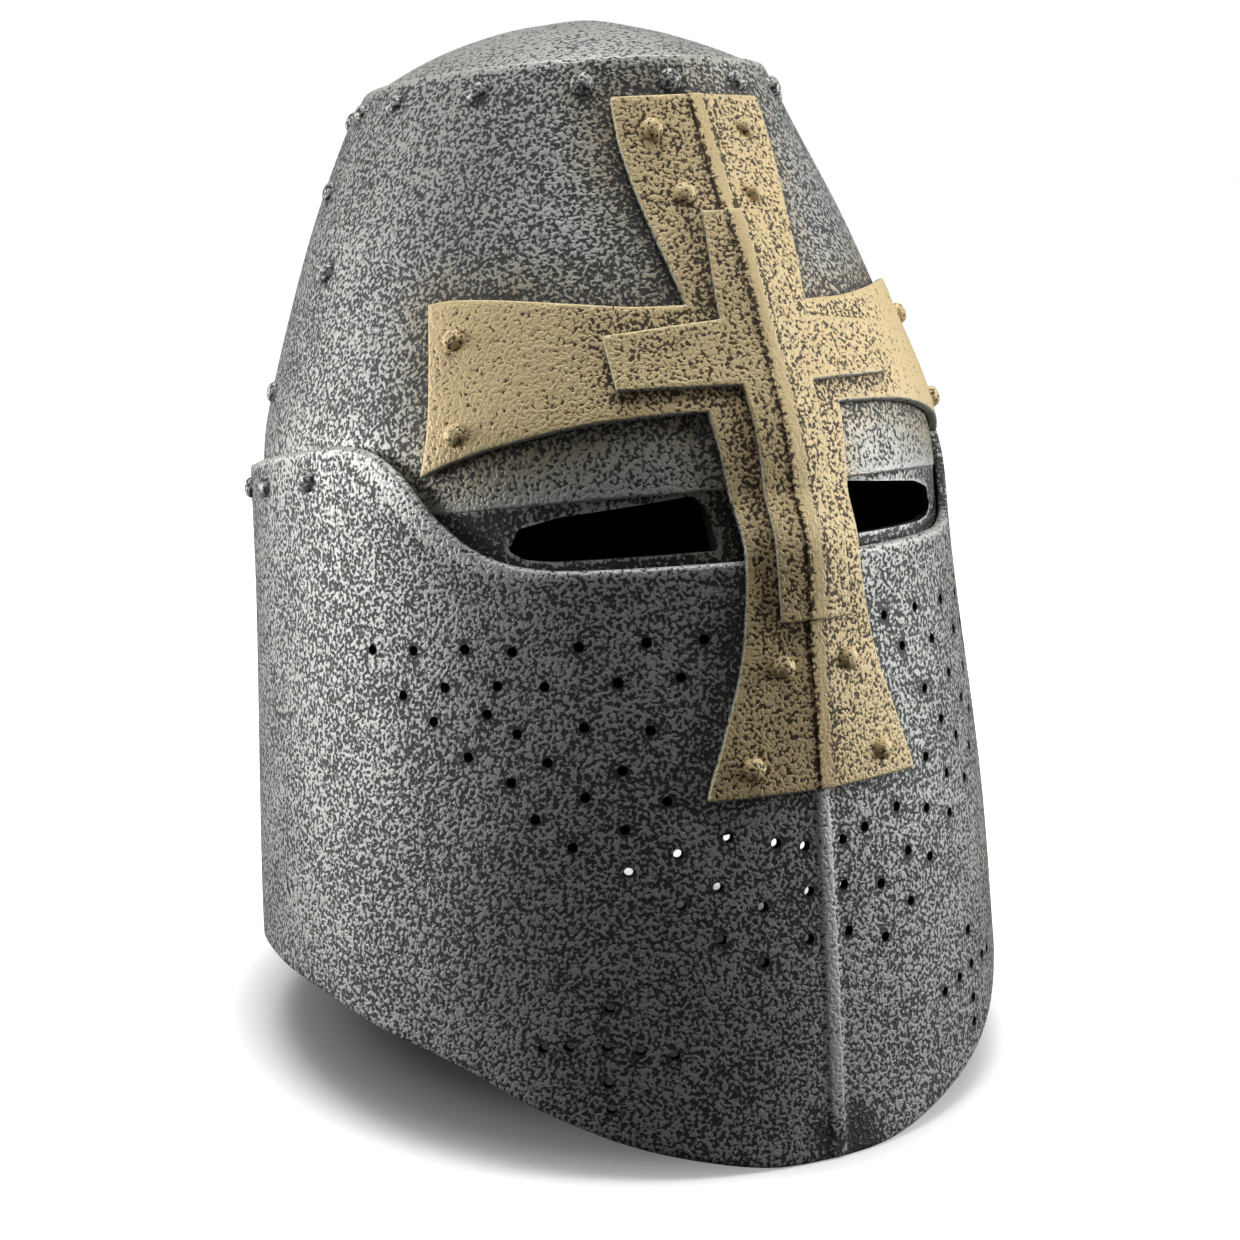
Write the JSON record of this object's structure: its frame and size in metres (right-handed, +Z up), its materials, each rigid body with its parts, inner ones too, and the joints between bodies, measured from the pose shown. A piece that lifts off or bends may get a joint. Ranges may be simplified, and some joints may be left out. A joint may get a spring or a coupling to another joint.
{
  "type": "great helm",
  "caption": "Great helm with a flared two-layer cross, eye slot, breath holes, domed crown and an arched lower rim; open below for a head.",
  "frame": {"origin": "centre of the bounding box in X and Y, on the plane that the rim stands on", "axes": "+X to the wearer's left, +Y to the back of the helm, +Z up"},
  "size_m": [0.2264, 0.2592, 0.3055],
  "materials": {
    "silver": "silver paint dry-brushed over black on a hammered skin",
    "gold": "old gold paint with dark speckles"
  },
  "bodies": {
    "root": {"face_plate": "silver", "skull": "silver", "crown_cap": "silver", "cross_outer": "gold", "cross_inner": "gold", "crown_rivet_1": "silver", "crown_rivet_2": "silver", "crown_rivet_3": "silver", "crown_rivet_4": "silver", "crown_rivet_5": "silver", "crown_rivet_6": "silver", "crown_rivet_7": "silver", "crown_rivet_8": "silver", "crown_rivet_9": "silver", "crown_rivet_10": "silver", "crown_rivet_11": "silver", "crown_rivet_12": "silver", "crown_rivet_13": "silver", "crown_rivet_14": "silver", "crown_rivet_15": "silver", "crown_rivet_16": "silver", "seam_rivet_left_1": "silver", "seam_rivet_left_2": "silver", "seam_rivet_left_3": "silver", "plate_rivet_left_1": "silver", "plate_rivet_left_2": "silver", "plate_rivet_left_3": "silver", "plate_rivet_left_4": "silver", "plate_rivet_left_5": "silver", "plate_rivet_left_6": "silver", "seam_rivet_right_1": "silver", "seam_rivet_right_2": "silver", "seam_rivet_right_3": "silver", "plate_rivet_right_1": "silver", "plate_rivet_right_2": "silver", "plate_rivet_right_3": "silver", "plate_rivet_right_4": "silver", "plate_rivet_right_5": "silver", "plate_rivet_right_6": "silver", "plate_rivet_back": "silver", "cross_rivet_top_left": "gold", "cross_rivet_upper_left": "gold", "cross_rivet_arm_high_left": "gold", "cross_rivet_arm_low_left": "gold", "cross_rivet_lower_left": "gold", "cross_rivet_bottom_left": "gold", "cross_rivet_top_right": "gold", "cross_rivet_upper_right": "gold", "cross_rivet_arm_high_right": "gold", "cross_rivet_arm_low_right": "gold", "cross_rivet_lower_right": "gold", "cross_rivet_bottom_right": "gold"}
  },
  "joints": []
}
